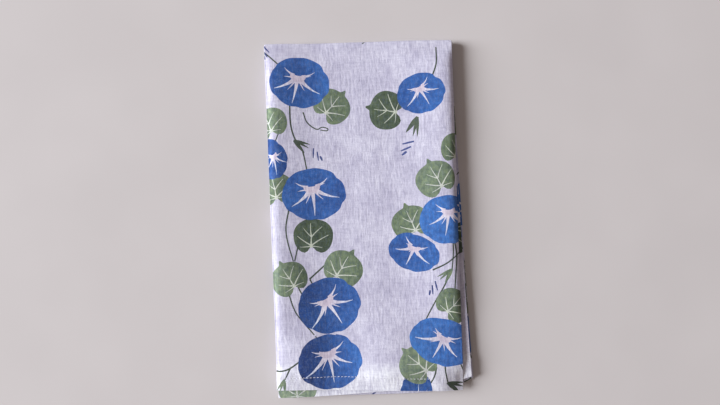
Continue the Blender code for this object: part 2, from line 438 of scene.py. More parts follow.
# On the back end: bare cloth that ends the flower there, and the dark leaf beside it.
BACK_BARE = (6.0, [(65.0, 0.0), (65.0, 60.0)])
BACK_LEAF = Leaf(64.0, 10.0, 64.5, 31.0, 23.0, 0.0, -1.0, 0.0)
# On the lowest length: the dark print that its right fold shows.
LOWEST_LINES = [
    (0.9, [(60.2, 62.0), (60.3, 69.0), (60.2, 76.0)]),
    (0.9, [(60.2, 85.5), (60.3, 92.5)]),
    (0.9, [(60.2, 96.0), (60.3, 103.0), (60.2, 111.0)]),
]

# Dyes and cloth as seen in plain daylight, on the 0 to 255 scale: dark, middle and light.
INKS = {
    "blue": ((32, 65, 132), (59, 113, 192), (86, 156, 238)),
    "green": ((82, 96, 70), (128, 145, 109), (166, 184, 148)),
    "stem": ((60, 69, 55), (74, 85, 66), (94, 106, 84)),
    "indigo": ((50, 58, 112), (62, 76, 140), (84, 98, 160)),
    "vein": ((214, 222, 200), (226, 232, 214), (236, 241, 228)),
    "throat": ((232, 220, 230), (238, 226, 238), (244, 232, 244)),
    "ray": ((240, 230, 242), (242, 242, 252), (222, 236, 255)),
}
# How much each of them shows the unevenness of dye.
DYE_SHARE = {
    "blue": 1.0, "green": 1.0, "stem": 0.6, "indigo": 0.7, "vein": 0.1, "throat": 0.1, "ray": 0.1
}
# Bare cloth on the hems and away from them, and how far past a hem it stays as bright.
GROUND = (248, 249, 255)
GROUND_THIN = (224, 222, 238)
HEM_BRIGHT_REACH = 2.0
# How much of the print the reverse shows, and how far from its centre a piece's shade changes.
REVERSE_SHARE = 0.45
LEAN_LIMIT = 1.2

# The baked image: the share of it that a millimetre takes, and where each part of the cloth starts.
# The whole printed face is small on it, its front and its underside are large, and so is the
# reverse, which lies on its side.
SMALL_SCALE = 1.0e-3
LARGE_SCALE = 2.7e-3
REVERSE_SCALE = np.array([0.95e-3, 0.7e-3])
WHOLE_CORNER = np.array([0.668, 0.03 + END_OF_CLOTH * SMALL_SCALE])
FRONT_CORNER = np.array([0.004, 0.344])
UNDER_CORNER = np.array([0.337, 0.344])
REVERSE_CORNER = np.array([0.006, 0.012])

# The floor, in metres, with a little air between it and the cloth.
FLOOR_LIGHT = (201, 195, 194)
FLOOR_DARK = (198, 192, 191)
FLOOR_HALF = 1.5
FLOOR_DROP = -0.00005

# A window far off at the left, in metres, and the light of the room.
WINDOW_PLACE = (-8.22, 0.93, 3.48)
WINDOW_SIZE = 4.9
WINDOW_POWER = 1740.0
WINDOW_COLOUR = (0.965, 1.0, 1.05)
ROOM_COLOUR = (1.0, 0.86, 0.80, 1.0)
ROOM_STRENGTH = 0.255

# The camera looks straight down, close enough for the towel's thickness to show. It is placed
# over the top of the towel, and its lens takes in the view's width there.
SENSOR = 36.0
VIEW_WIDTH = 464.4
CAMERA_DISTANCE = 335.0
CAMERA_X = -2.5
CAMERA_Y = 8.4
CAMERA_TURN = -2.14
TOP_HEIGHT = 6.0
NEAREST_SEEN = 10.0


def unit(vectors):
    return vectors / np.linalg.norm(vectors, axis=1)[:, None]


def direction(degrees):
    return np.array([math.cos(math.radians(degrees)), math.sin(math.radians(degrees))])


def even_angles(count):
    return np.arange(count) * math.tau / count


def round_points(angles, radius):
    return np.stack([radius * np.cos(angles), radius * np.sin(angles)], axis=1)


def smooth(value):
    value = np.clip(value, 0.0, 1.0)
    return value * value * (3.0 - 2.0 * value)


def line_point(name, across):
    """The points of a line at across, which runs from -1 at its left end to 1 at its right."""
    line = LINES[name]
    share = (across + 1.0) / 2.0
    x = line.left_x + (line.right_x - line.left_x) * share
    y = line.left_y + (line.right_y - line.left_y) * share
    y = y + line.bow * (1.0 - np.abs(across) ** BOW_POWER) * (1.0 + line.lean * across)
    return x, y


def flat_end(name, across):
    """Where the flat part of a length stops: at the cloth's end, or where a fold's arc starts."""
    x, y = line_point(name, across)
    if name in FOLDS:
        y = y - FOLDS[name].side * FOLDS[name].reach
    return x, y


def hem_share(run):
    """1 inside a hem, falling to 0 where the flat plies start. run is from the cloth's end."""
    return 1.0 - smooth((run - HEM_DEPTH) / HEM_SLOPE)


def flap_depth(side, run):
    """How far a flap lies under the middle panel, at run from the cloth's end."""
    return FLAP_DEPTH[side] + (HEM_FLAP_DEPTH[side] - FLAP_DEPTH[side]) * hem_share(run)


def soft_relief(x, y):
    """How far the cloth that lies on the others swells up at x, y."""
    relief = np.full_like(x, SWELL_BASE)
    for swell in SWELLS:
        wave = (x + swell.slant * y) / swell.across
        drift = y / swell.along
        relief += swell.height * np.sin(math.tau * wave + swell.phase) * np.cos(math.tau * drift)
    left = 1.0 - smooth((x + HALF_PANEL) / LEFT_RISE_REACH)
    return np.maximum(relief, 0.0) + LEFT_RISE * left


def crease_relief(x, y):
    relief = np.zeros_like(x)
    for crease in CREASES:
        along_x, along_y = crease.x1 - crease.x0, crease.y1 - crease.y0
        length_squared = along_x**2 + along_y**2
        place = ((x - crease.x0) * along_x + (y - crease.y0) * along_y) / length_squared
        place = np.clip(place, 0.0, 1.0)
        away_x = x - crease.x0 - place * along_x
        away_y = y - crease.y0 - place * along_y
        relief += crease.depth * bell(np.hypot(away_x, away_y), crease.reach)
    return relief


def table_height(table, place):
    """A smooth height at each place, from a table of places and heights."""
    curve = curve_through(table, TABLE_STEPS)
    return np.interp(place, curve[:, 0], curve[:, 1])


def bell(distance, reach):
    """1 where the distance is nothing, falling softly to 0 past the reach."""
    return np.exp(-((distance / reach) ** 2))


def part_way(value, bounds):
    """0 before the first bound and 1 past the second, with a soft change between."""
    return smooth((value - bounds[0]) / (bounds[1] - bounds[0]))


def loose_relief(place, y):
    """How far the top panel stands off its flaps. It is nothing at the panel's two folds."""
    upper = table_height(LOOSE_HEIGHTS, place)
    lower = table_height(HEM_HEIGHTS, place)
    height = lower + (upper - lower) * part_way(y, HEM_WAVES)
    phase = math.tau * y / LOOSE_DRIFT_LENGTH + LOOSE_DRIFT_SLANT * place
    return height * (1.0 + LOOSE_DRIFT * np.sin(phase))


def pucker_relief(x, run):
    """The waves that the row of stitches draws into the cloth."""
    wave = np.zeros_like(x)
    for share, length, phase in PUCKER_WAVES:
        wave += share * np.sin(math.tau * x / length + phase)
    return PUCKER_HEIGHT * wave * bell(run - STITCH_ROW, PUCKER_REACH)


def panel_height(stretch, x, y, run):
    """The height of a length's middle panel at x, y."""
    height = stretch.level * LEVEL + CLOTH / 2 + stretch.swell * soft_relief(x, y)
    if stretch.face_up:
        height = height + flap_depth("left", run)
    if stretch.level == TOP_LEVEL:
        hem_line = LINES["back_hem"]
        middle = (hem_line.left_x + hem_line.right_x) / 2
        half = (hem_line.right_x - hem_line.left_x) / 2
        across = np.clip((x - middle) / half, -1.0, 1.0)
        under = y - line_point("back_hem", across)[1]
        rise = HEM_FLAP_DEPTH["left"] - FLAP_DEPTH["left"] + OVER_HEM_GAP
        past = (under - HEM_DEPTH - OVER_HEM_START) / (HEM_SLOPE + OVER_HEM_SLOPE)
        height = height + rise * (1.0 - smooth(past))
        height = height + crease_relief(x, y) + pucker_relief(x, run)
        height = height - DROOP * part_way(y, DROOP_ALONG) * part_way(x, DROOP_ACROSS)
    return height


def hem_run(v):
    """How far each point lies from the cloth's end, and how far it is turned to the reverse."""
    past = np.maximum(-v, v - LENGTH)
    edge, back = HEM_EDGE_ROUND, HEM_BACK_ROUND
    run = -past - edge + HEM_PLY
    turned = np.zeros_like(v)

    first = (past > -edge) & (past <= edge)
    angle = math.pi * (past[first] + edge) / (2.0 * edge)
    run[first] = HEM_PLY * (1.0 - np.sin(angle))
    turned[first] = HEM_PLY * (1.0 - np.cos(angle))

    returning = past > edge
    run[returning] = HEM_PLY + past[returning] - edge
    turned[returning] = 2.0 * HEM_PLY

    far = HEM_PLY + HEM_DEPTH - back - edge
    second = (past > HEM_DEPTH - back) & (past <= HEM_DEPTH + back)
    angle = math.pi * (past[second] - HEM_DEPTH + back) / (2.0 * back)
    run[second] = far + HEM_PLY / 2 * np.sin(angle)
    turned[second] = HEM_PLY * 2.0 - HEM_PLY / 2 * (1.0 - np.cos(angle))

    inside = past > HEM_DEPTH + back
    run[inside] = far - (past[inside] - HEM_DEPTH - back)
    turned[inside] = HEM_PLY
    return run, turned


def cross_section(u, run, turned):
    """Across the strip: where each point lies, and how deep under the middle panel."""
    share = (u - PANEL_START) / (PANEL_STOP - PANEL_START)
    left_out = HALF_PANEL - SIDE_BULGE["left"]
    place = -left_out + share * (HALF_PANEL - SIDE_BULGE["right"] + left_out)
    depth = np.zeros_like(u)
    reverse_x = np.zeros_like(u)
    reverse_depth = np.ones_like(u)
    for side, fold_u, sign in (("right", RIGHT_FOLD, 1.0), ("left", LEFT_FOLD, -1.0)):
        arc, bulge = SIDE_ROUND[side], SIDE_BULGE[side]
        past = (u - fold_u) * sign
        flap = past > -arc
        angle = np.clip(math.pi * (past[flap] + arc) / (2.0 * arc), 0.0, math.pi)
        beyond = np.maximum(past[flap] - arc, 0.0)
        place[flap] = sign * (HALF_PANEL - bulge + bulge * np.sin(angle) - beyond)
        depth[flap] = flap_depth(side, run[flap]) / 2 * (1.0 - np.cos(angle))
        reverse_x[flap] = -sign * np.sin(angle)
        reverse_depth[flap] = np.cos(angle)
    place = place + turned * reverse_x
    depth = depth + turned * reverse_depth
    return place / HALF_PANEL, depth


def round_half(name):
    return FOLDS[name].round_half if name in FOLDS else 0.0


def inward(stretch):
    """The way from a length's middle panel to its flaps: down where it lies face up."""
    return -1.0 if stretch.face_up else 1.0


def folded(u, v):
    """The places in the folded towel of the flat points u, v of the cloth's middle."""
    run, turned = hem_run(v)
    across, depth = cross_section(u, run, turned)
    along = np.where(v > LENGTH / 2, LENGTH - run, run)
    x, y, z = np.zeros_like(u), np.zeros_like(u), np.zeros_like(u)

    for stretch in STRETCHES:
        high = stretch.first_v - round_half(stretch.start)
        low = stretch.last_v + round_half(stretch.end)
        here = (along >= low) & (along <= high)
        share = (high - along[here]) / (high - low)
        start_x, start_y = flat_end(stretch.start, across[here])
        end_x, end_y = flat_end(stretch.end, across[here])
        x[here] = start_x + (end_x - start_x) * share
        y[here] = start_y + (end_y - start_y) * share
        height = panel_height(stretch, x[here], y[here], run[here])
        z[here] = height + inward(stretch) * depth[here]
        if stretch.level == TOP_LEVEL:
            on_panel = (u[here] > PANEL_START) & (u[here] < PANEL_STOP)
            from_hem = smooth(run[here] / HEM_LOOSE_REACH)
            from_hem = HEM_LOOSE_SHARE + (1.0 - HEM_LOOSE_SHARE) * from_hem
            loose = loose_relief(across[here] * HALF_PANEL, y[here])
            loose = loose * from_hem * smooth((1.0 - share) / CLOSED_SHARE)
            z[here] += np.where(on_panel, loose, 0.0)

    for before, after in zip(STRETCHES, STRETCHES[1:]):
        fold = FOLDS[before.end]
        here = np.abs(along - fold.v) < fold.round_half
        angle = math.pi * (fold.v + fold.round_half - along[here]) / (2.0 * fold.round_half)
        arc_x, arc_y = flat_end(before.end, across[here])
        from_z = panel_height(before, arc_x, arc_y, run[here])
        to_z = panel_height(after, arc_x, arc_y, run[here])
        half = (from_z - to_z) / 2
        sideways = fold.side * np.sign(half) * inward(before) * np.sin(angle)
        x[here] = arc_x
        y[here] = arc_y + fold.side * np.abs(half) * np.sin(angle) + sideways * depth[here]
        z[here] = (from_z + to_z) / 2 + half * np.cos(angle)
        z[here] += inward(before) * np.cos(angle) * depth[here]
    return np.stack([x, y, z], axis=1)


def face_normals(u, v):
    """The directions in which the printed face looks at the flat points u, v."""
    along_u = folded(u + SLOPE_STEP, v) - folded(u - SLOPE_STEP, v)
    along_v = folded(u, v + SLOPE_STEP) - folded(u, v - SLOPE_STEP)
    return unit(np.cross(along_v, along_u))


# Flat shapes of the print. Each returns an outline as an array of points.


def turned_points(points, degrees):
    angle = math.radians(degrees)
    rotation = np.array([[math.cos(angle), math.sin(angle)], [-math.sin(angle), math.cos(angle)]])
    return np.asarray(points) @ rotation


def curve_through(points, steps):
    """A smooth curve through given points, by the Catmull-Rom formula."""
    points = np.asarray(points, dtype=float)
    if len(points) == 2:
        return points
    ends = [2 * points[0] - points[1], *points, 2 * points[-1] - points[-2]]
    curve = []
    for before, start, end, after in zip(ends, ends[1:], ends[2:], ends[3:]):
        for step in range(steps):
            t = step / steps
            bend = (end - before) * t + (2 * before - 5 * start + 4 * end - after) * t**2
            bend = bend + (3 * start - before - 3 * end + after) * t**3
            curve.append(start + bend / 2)
    curve.append(points[-1])
    return np.array(curve)


def ribbon(points, half_widths):
    """The outline of a band that follows points."""
    points = np.asarray(points, dtype=float)
    ways = unit(np.gradient(points, axis=0))
    sides = np.stack([-ways[:, 1], ways[:, 0]], axis=1) * np.asarray(half_widths)[:, None]
    return np.concatenate([points - sides, (points + sides)[::-1]])


def blade(start, end, half_width, tip_share, bend):
    """A tapered stroke from start to end, drawn aside in its middle by bend of its length."""
    start, end = np.asarray(start, dtype=float), np.asarray(end, dtype=float)
    aside = np.array([-(end - start)[1], (end - start)[0]]) * bend
    bow = 4 * BLADE_SHARES * (1 - BLADE_SHARES)
    points = start + (end - start) * BLADE_SHARES[:, None] + aside * bow[:, None]
    return ribbon(points, half_width * (1.0 - (1.0 - tip_share) * BLADE_SHARES**BLADE_TAPER))


def flower_outline():
    """A round flower with a slightly wavy rim, notched at its long rays, in its own frame."""
    angles = even_angles(FLOWER_POINTS)
    radius = np.ones(FLOWER_POINTS)
    for height, number, phase in RIM_WAVES:
        radius += height * np.cos(number * angles + phase)
    for angle, _ in STARS["open"][:LONG_RAYS]:
        away = np.angle(np.exp(1j * (angles - math.radians(angle))))
        radius -= NOTCH_DEPTH * bell(away, NOTCH_REACH)
    return round_points(angles, radius)


def leaf_outline(width, lop):
    """A round heart-shaped leaf with a small point, stalk at 0, 0 and tip at 0, 1."""
    even = (np.arange(LEAF_POINTS) + 0.5) * math.tau / LEAF_POINTS
    even = even[(even > LEAF_EVEN_FROM) & (even < math.tau - LEAF_EVEN_FROM)]
    angles = np.concatenate([LEAF_TIP_ANGLES, even, math.tau - LEAF_TIP_ANGLES[:0:-1]])
    from_tip = np.abs(np.angle(np.exp(1j * angles)))
    from_stalk = math.pi - from_tip
    radius = LEAF_RADIUS + LEAF_SIDE * smooth(from_tip / (math.pi / 2))
    radius += LEAF_LOBE * smooth((from_tip - math.pi / 2) / (math.pi / 3))
    radius -= LEAF_NOTCH * bell(from_stalk, LEAF_NOTCH_REACH)
    radius += LEAF_POINT * bell(from_tip, LEAF_POINT_REACH)
    across = radius * np.sin(angles)
    across *= width / (across.max() - across.min())
    along = LEAF_MIDDLE + radius * np.cos(angles)
    across += lop * smooth((from_tip - LOP_START) / LOP_REACH) * smooth(from_stalk / LOP_END_REACH)
    return np.stack([across, along], axis=1)


# The print's pieces, each an outline with its colour and shading.

Motif = namedtuple(
    "Motif", "outline colour centre radius shade lean places", defaults=[EVERYWHERE]
)


def flower_motifs(flower):
    half = np.array([flower.width, flower.height]) / 2
    centre = np.array([flower.x, flower.y])
    outline = centre + turned_points(flower_outline() * half, flower.turn)
    shading = (half[0], flower.shade, flower.lean)
    motifs = [Motif(outline, "blue", centre, *shading)]
    hub = np.array([flower.hub_x, flower.hub_y])
    star = half * flower.star_size

    def placed(points):
        return hub + turned_points(points, flower.star_turn)

    for ray, (angle, length) in zip(RAYS, STARS[flower.star]):
        way = direction(angle) * star
        half_width = ray.half_width * star[0]
        shape = blade(way * ray.start, way * length, half_width, RAY_TIP, ray.bend)
        motifs.append(Motif(placed(shape), "ray", hub, *shading))
    throat = curve_through(THROAT + THROAT[:1], THROAT_STEPS)[:-1] * star
    motifs.append(Motif(placed(throat), "throat", hub, *shading))
    return motifs


def leaf_motifs(leaf):
    stalk = np.array([leaf.x, leaf.y])
    tip = np.array([leaf.tip_x, leaf.tip_y])
    size = np.linalg.norm(tip - stalk)
    turn = math.degrees(math.atan2(tip[1] - stalk[1], tip[0] - stalk[0])) - 90.0
    shading = (stalk + LEAF_MIDDLE * (tip - stalk), leaf.width / 2, leaf.shade, leaf.lean)

    def placed(points):
        return stalk + turned_points(np.asarray(points) * size, turn)

    motifs = [Motif(placed(leaf_outline(leaf.width / size, leaf.lop)), "green", *shading)]
    for vein in VEINS:
        start, end = (vein.x0, vein.y0), (vein.x1, vein.y1)
        shape = blade(start, end, vein.half_width, VEIN_TIP, VEIN_BEND)
        motifs.append(Motif(placed(shape), "vein", *shading))
    dot = round_points(even_angles(DOT_POINTS), STALK_DOT)
    motifs.append(Motif(placed(dot), "vein", *shading))
    return motifs


def bud_motifs(bud):
    base = np.array([bud.x, bud.y])
    shading = (base, PLAIN_RADIUS, bud.shade, 0.0)

    def placed(points):
        mirrored = np.asarray(points) * np.array([1.0, bud.hand]) * bud.size
        return base + turned_points(mirrored, bud.axis)

    motifs = []
    for sepal in SEPALS:
        end = sepal.length * direction(sepal.angle)
        shape = ribbon(np.outer(SEPAL_SHARES, end), sepal.half_width * SEPAL_WIDTHS)
        motifs.append(Motif(placed(shape), bud.colour, *shading))
    for stroke in STROKES:
        reach = direction(stroke.slant) * stroke.length / 2
        middle = np.array([stroke.along, 0.0])
        points = [middle - reach, middle, middle + reach]
        shape = ribbon(points, stroke.half_width * STROKE_WIDTHS)
        motifs.append(Motif(placed(shape), "indigo", *shading))
    return motifs


def line_motif(line, colour, taper=1.0):
    half_width, points = line
    curve = curve_through(points, LINE_STEPS)
    widths = half_width * np.linspace(1.0, taper, len(curve))
    return Motif(ribbon(curve, widths), colour, curve[0], PLAIN_RADIUS, 0.0, 0.0)


def printed_at(motifs, places):
    return [motif._replace(places=places) for motif in motifs]


def repeat_motifs():
    """One repeat of the print, from the lowest piece to the topmost."""
    motifs = []
    for stem in STEMS:
        last_x, last_y = stem[1][-1]
        repeats = last_y > LOWEST_REPEAT or last_x < LEFT_STEMS
        on_stem = [line_motif(stem, "stem", STEM_TAPER)]
        motifs += printed_at(on_stem, EVERYWHERE if repeats else FRONT_ONLY)
    for bud in BUDS:
        motifs += printed_at(bud_motifs(bud), EVERYWHERE if bud.y > LOWEST_REPEAT else FRONT_ONLY)
    motifs += flower_motifs(HEM_FLOWER)
    motifs.append(line_motif(PALE_LINES[0], "ground", PALE_TAPER))
    motifs += printed_at(flower_motifs(CUT_FLOWER), FRONT_ONLY)
    for leaf in LEAVES:
        motifs += leaf_motifs(leaf)
    for flower in [SMALL_FLOWER, *FLOWERS]:
        motifs += flower_motifs(flower)
    motifs.append(line_motif(PALE_LINES[1], "ground", PALE_TAPER))
    fold_stroke = line_motif(FOLD_STROKE, "indigo", FOLD_STROKE_TAPER)
    # The dark tip on the lower fold is painted shadow of the gap under its end.
    motifs += printed_at([fold_stroke, line_motif(FOLD_END_SHADOW, "stem")], LOWER_FOLD_ONLY)
    on_back = [line_motif(BACK_BARE, "ground"), *leaf_motifs(BACK_LEAF)]
    motifs += printed_at(on_back, BACK_END_ONLY)
    motifs += printed_at([line_motif(line, "stem") for line in LOWEST_LINES], LOWEST_ONLY)
    return motifs


def on_flat_cloth(points):
    """The flat places, u and v, of points that are given as x and y on the front length."""
    x, y = points[:, 0], points[:, 1]
    across = np.clip(x / HALF_PANEL, -1.0, 1.0)
    hem_y = flat_end("front_hem", across)[1]
    fold_y = flat_end("outer_fold", across)[1]
    flat_length = LENGTH - FOLDS["outer_fold"].v - FOLDS["outer_fold"].round_half
    v = LENGTH - (y - hem_y) / (fold_y - hem_y) * flat_length
    return np.stack([PANEL_MIDDLE + x, v], axis=1)


def clipped(outline, low, high):
    """An outline cut to the rectangle from low to high."""
    for axis in (0, 1):
        for bound, sign in ((low[axis], 1.0), (high[axis], -1.0)):
            kept = []
            for start, end in zip(outline, np.roll(outline, -1, axis=0)):
                start_in = (start[axis] - bound) * sign >= 0
                end_in = (end[axis] - bound) * sign >= 0
                if start_in != end_in:
                    share = (bound - start[axis]) / (end[axis] - start[axis])
                    crossing = start + (end - start) * share
                    kept += [crossing, end] if end_in else [crossing]
                elif end_in:
                    kept.append(end)
            outline = np.array(kept)
            if len(outline) < 3:
                return None
    return outline


def is_hidden(outline):
    """Whether an outline lies wholly on plies that neither the top nor the underside shows."""
    low, high = outline.min(axis=0), outline.max(axis=0)
    return high[0] < LEFT_FOLD or low[0] > RIGHT_FOLD or high[1] < FOLDS["lower_fold"].v


def printed_motifs():
    """Every piece of the print on the flat cloth, with its turned-in ends, cut to its edges."""
    low = np.array([0.0, -END_OF_CLOTH])
    high = np.array([WIDTH, LENGTH + END_OF_CLOTH])
    motifs = []
    for motif in repeat_motifs():
        flat = on_flat_cloth(motif.outline)
        flat_centre = on_flat_cloth(np.atleast_2d(motif.centre))[0]
        for across, along in motif.places:
            shift = np.array([across * REPEAT_ACROSS, along * REPEAT_ALONG])
            outline = flat + shift
            if np.any(outline.max(axis=0) < low) or np.any(outline.min(axis=0) > high):
                continue
            outline = clipped(outline, low, high)
            if outline is None:
                continue
            if len(outline) > PLAIN_OUTLINE and is_hidden(outline):
                outline = outline[::2]
            motifs.append(motif._replace(outline=outline, centre=flat_centre + shift))
    return motifs


# The flat grid, close where the cloth bends.


def stepped(start, stop, step):
    count = max(1, round((stop - start) / step))
    return [start + (stop - start) * index / count for index in range(count + 1)]


def grid_columns():
    left, right = SIDE_ROUND["left"], SIDE_ROUND["right"]
    left_arc = stepped(LEFT_FOLD - left, PANEL_START, 2 * left / ROUND_STEPS)
    right_arc = stepped(PANEL_STOP, RIGHT_FOLD + right, 2 * right / ROUND_STEPS)
    columns = stepped(0.0, LEFT_FOLD - left, HIDDEN_STEP)
    columns += stepped(PANEL_START, PANEL_STOP, FRONT_STEP)
    columns += stepped(RIGHT_FOLD + right, WIDTH, HIDDEN_STEP)
    columns += [PANEL_START + step for step in BESIDE_FOLD]
    columns += [PANEL_STOP - step for step in BESIDE_FOLD]
    return sorted(set(columns + left_arc + right_arc)), left_arc + right_arc


def grid_rows():
    edge, back = HEM_EDGE_ROUND, HEM_BACK_ROUND
    hem = stepped(-edge, edge, 2 * edge / ROUND_STEPS)
    hem += stepped(HEM_DEPTH - back, HEM_DEPTH + back, 2 * back / ROUND_STEPS)
    bends = [-place for place in hem] + [LENGTH + place for place in hem]
    rows = [-END_OF_CLOTH, LENGTH + END_OF_CLOTH]
    rows += stepped(LENGTH - FRONT_HEM_ROWS, LENGTH - edge, HEM_STEP)
    rows += stepped(edge, END_ROWS, BACK_HEM_STEP)
    for fold in FOLDS.values():
        step = 2 * fold.round_half / LONG_ROUND_STEPS
        bends += stepped(fold.v - fold.round_half, fold.v + fold.round_half, step)
    for stretch in STRETCHES:
        high = stretch.first_v - (round_half(stretch.start) or END_ROWS)
        low = stretch.last_v + (round_half(stretch.end) or END_ROWS)
        rows += stepped(low, high, FRONT_STEP if stretch.level == TOP_LEVEL else HIDDEN_STEP)
    return sorted(set(rows + bends)), bends


def triangulated(motifs):
    """The flat cloth as triangles, with an edge along each bend and each piece of the print."""
    columns, bend_columns = grid_columns()
    rows, bend_rows = grid_rows()
    points = [Vector((column, row)) for row in rows for column in columns]
    edges = []
    width = len(columns)
    for row_index in range(len(rows) - 1):
        for bend in [0, width - 1] + [columns.index(place) for place in bend_columns]:
            edges.append((row_index * width + bend, (row_index + 1) * width + bend))
    for row_index in [0, len(rows) - 1] + [rows.index(place) for place in bend_rows]:
        for index in range(width - 1):
            edges.append((row_index * width + index, row_index * width + index + 1))
    faces = []
    for motif in motifs:
        first = len(points)
        x, y = motif.outline[:, 0], motif.outline[:, 1]
        signed_area = np.sum(x * np.roll(y, -1) - np.roll(x, -1) * y)
        outline = motif.outline if signed_area > 0 else motif.outline[::-1]
        points += [Vector(point) for point in outline]
        faces.append(list(range(first, len(points))))
    result = delaunay_2d_cdt(points, edges, faces, WHOLE_SHEET, SAME_POINT, True)
    places, _, triangles, _, _, motifs_inside = result
    flat = np.array([tuple(place) for place in places])
    topmost = np.array([max(inside, default=-1) for inside in motifs_inside])
    return flat, np.array(triangles), topmost


def linear(colour):
    """A colour as Blender's shaders take it, by the sRGB formula from the 0 to 255 scale."""
    share = np.asarray(colour, dtype=float) / 255.0
    return np.where(share <= 0.04045, share / 12.92, ((share + 0.055) / 1.055) ** 2.4)


def motif_colours(motif, corners):
    """The colour of a motif at flat points: its dye, darker where its shade and lean say so, which
    also paint some light and shade of the side folds.
    """
    dark, middle, light = (linear(colour) for colour in INKS[motif.colour])
    away = (corners - motif.centre) / motif.radius
    tone = motif.shade + motif.lean * np.clip(away[..., 0], -LEAN_LIMIT, LEAN_LIMIT)
    if motif.colour == "ray":
        tone = np.hypot(away[..., 0], away[..., 1]) * 2.0 - 1.0
    tone = np.clip(tone, -1.0, 1.0)[..., None]
    lighter = middle + (light - middle) * np.maximum(tone, 0.0)
    return lighter + (dark - middle) * np.maximum(-tone, 0.0)


def print_colours(flat, triangles, topmost, motifs):
    """The colour at each triangle's corners, and how much dye there is: 0 on bare cloth."""
    run = hem_run(flat[:, 1])[0]
    backed = hem_share(run - HEM_BRIGHT_REACH)[triangles][..., None]
    colours = linear(GROUND_THIN) + (linear(GROUND) - linear(GROUND_THIN)) * backed
    dyed = np.zeros((len(triangles), 3))
    for index in np.unique(topmost[topmost >= 0]):
        motif = motifs[index]
        here = topmost == index
        if motif.colour == "ground":
            continue
        colours[here] = motif_colours(motif, flat[triangles[here]])
        dyed[here] = DYE_SHARE[motif.colour]
    return colours, dyed


def rim_edges(triangles):
    """The edges of the sheet's outline, in the order of the triangles that they bound."""
    edges = np.concatenate([triangles[:, [0, 1]], triangles[:, [1, 2]], triangles[:, [2, 0]]])
    pairs = np.sort(edges, axis=1)
    _, first, counts = np.unique(pairs, axis=0, return_index=True, return_counts=True)
    return edges[first[counts == 1]]


def atlas_places(flat, triangles):
    """Where each corner of the printed face lies on the baked image: big where it shows."""
    corners = flat[triangles]
    middles = corners.mean(axis=1)
    left, right = LEFT_FOLD - SIDE_ROUND["left"], RIGHT_FOLD + SIDE_ROUND["right"]
    top = FOLDS["outer_fold"].v + FOLDS["outer_fold"].round_half
    low = FOLDS["lower_fold"].v - FOLDS["lower_fold"].round_half
    places = corners * SMALL_SCALE + WHOLE_CORNER
    shown = (middles[:, 0] > left) & (middles[:, 0] < right)
    front = shown & (middles[:, 1] > top)
    under = shown & (middles[:, 1] > low) & ~front
    places[front] = (corners[front] - np.array([left, top])) * LARGE_SCALE + FRONT_CORNER
    places[under] = (corners[under] - np.array([left, low])) * LARGE_SCALE + UNDER_CORNER
    return places


def reverse_places(points):
    """The same for the reverse."""
    return ((points + np.array([0.0, END_OF_CLOTH])) * REVERSE_SCALE)[..., ::-1] + REVERSE_CORNER


def new_object(name, data):
    thing = bpy.data.objects.new(name, data)
    bpy.context.scene.collection.objects.link(thing)
    return thing


def fill_layer(layer, key, *corners):
    """Fill a layer of the mesh from the corners of its front, its reverse and its rim."""
    layer.data.foreach_set(key, np.concatenate([array.ravel() for array in corners]))


def with_alpha(colours):
    return np.concatenate([colours, np.ones((*colours.shape[:2], 1))], axis=2)


def make_cloth():
    motifs = printed_motifs()
    flat, triangles, topmost = triangulated(motifs)
    places = folded(flat[:, 0], flat[:, 1])
    normals = face_normals(flat[:, 0], flat[:, 1])
    count = len(flat)
    rim = rim_edges(triangles)
    around = [0, 1, 1, 0]

    points = np.concatenate([places + normals * CLOTH / 2, places - normals * CLOTH / 2]) * MM
    front = triangles[:, ::-1]
    edge = rim[:, around] + np.array([0, 0, count, count])
    mesh = bpy.data.meshes.new("towel_cloth")
    faces = front.tolist() + (triangles + count).tolist() + edge.tolist()
    mesh.from_pydata(points.tolist(), [], faces)

    colours, dyed = print_colours(flat, triangles, topmost, motifs)
    bare = linear(GROUND)
    faded = bare + (colours - bare) * REVERSE_SHARE
    rim_colours = np.broadcast_to(bare, (len(rim), 4, 3))
    layer = mesh.color_attributes.new("print_colour", "FLOAT_COLOR", "CORNER")
    every_colour = [with_alpha(array) for array in (colours[:, ::-1], faded, rim_colours)]
    fill_layer(layer, "color", *every_colour)
    layer = mesh.attributes.new("print_dye", "FLOAT", "CORNER")
    fill_layer(layer, "value", dyed[:, ::-1], dyed * REVERSE_SHARE, np.zeros((len(rim), 4)))

    corners = flat[triangles]
    rim_corners = flat[rim[:, around]]
    layer = mesh.uv_layers.new(name="flat")
    fill_layer(layer, "uv", corners[:, ::-1] * MM, corners * MM, rim_corners * MM)
    # On the baked image the rim lies round the reverse, with its front edge outside.
    out = np.sign(rim_corners - np.array([WIDTH, LENGTH]) / 2) * CLOTH
    out[:, 2:] = 0.0
    atlas = atlas_places(flat, triangles)[:, ::-1]
    layer = mesh.uv_layers.new(name="OFBake")
    fill_layer(layer, "uv", atlas, reverse_places(corners), reverse_places(rim_corners + out))

    edge_way = places[rim[:, 1]] - places[rim[:, 0]]
    edge_normals = unit(np.cross(normals[rim[:, 0]], edge_way))
    corner_normals = np.concatenate([
        normals[front].reshape(-1, 3),
        -normals[triangles].reshape(-1, 3),
        np.repeat(-edge_normals, 4, axis=0),
    ])
    mesh.polygons.foreach_set("use_smooth", np.ones(len(faces), dtype=bool))
    mesh.normals_split_custom_set(corner_normals.tolist())
    mesh.validate()
    mesh.materials.append(cotton_material())
    return new_object("towel_cloth", mesh)


